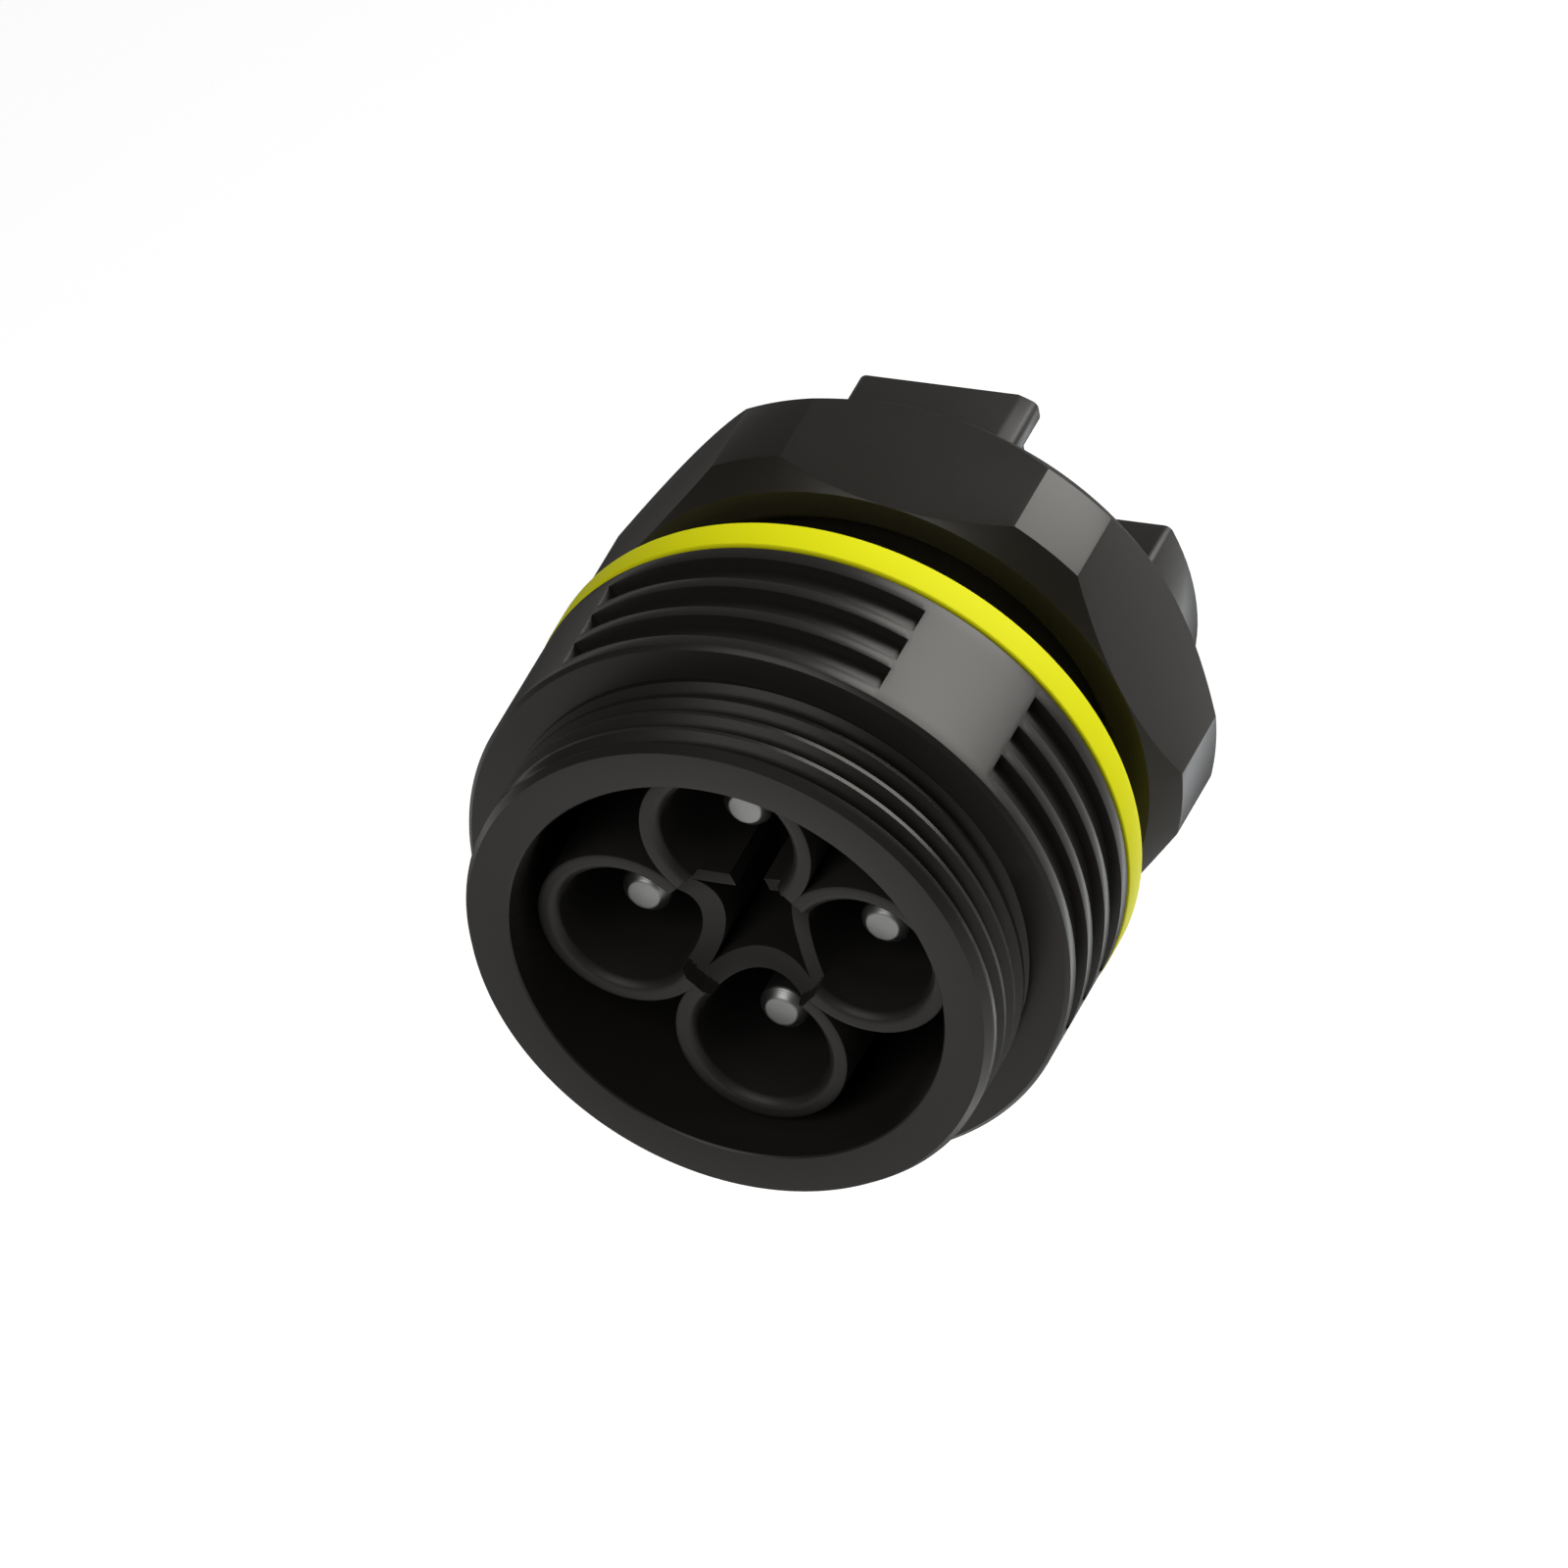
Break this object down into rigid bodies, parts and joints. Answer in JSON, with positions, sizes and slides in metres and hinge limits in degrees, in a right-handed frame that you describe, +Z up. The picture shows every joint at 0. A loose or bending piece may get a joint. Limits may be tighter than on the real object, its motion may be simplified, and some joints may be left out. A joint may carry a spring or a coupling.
{
  "type": "panel mount power connector",
  "caption": "Round panel mount power inlet with shrouded pins, a threaded coupling sleeve, a flat panel seal, a hexagon lock nut and screw terminals behind the panel.",
  "frame": {"origin": "on the connector's axis, in the rear face of the yellow seal, which is the face that meets the panel", "axes": "-Y out of the mating side, +Y behind the panel, +Z up through the keyed tube, +X to the right seen from the mating side"},
  "size_m": [0.035, 0.0364, 0.035],
  "materials": {
    "black_plastic": "fine moulded satin",
    "insulator_plastic": "moulded satin",
    "yellow_seal": "smooth moulded rubber",
    "black_rubber": "smooth moulded rubber",
    "pin_plating": "silver plated, turned",
    "clamp_brass": "milled",
    "screw_steel": "zinc plated"
  },
  "bodies": {
    "root": {"body_shell": "black_plastic", "panel_seal": "yellow_seal", "lock_nut": "black_plastic", "carrier_base": "insulator_plastic", "contact_shroud_right": "insulator_plastic", "contact_shroud_top": "insulator_plastic", "contact_shroud_left": "insulator_plastic", "contact_shroud_bottom": "insulator_plastic", "carrier_seal": "black_rubber", "terminal_housing": "insulator_plastic", "assembly_screw": "screw_steel", "terminal_screws": "screw_steel", "contact_pin_right": "pin_plating", "contact_pin_top": "pin_plating", "contact_pin_left": "pin_plating", "contact_pin_bottom": "pin_plating", "terminal_clamp_right": "clamp_brass", "terminal_clamp_top": "clamp_brass", "terminal_clamp_left": "clamp_brass", "terminal_clamp_bottom": "clamp_brass"}
  },
  "joints": []
}
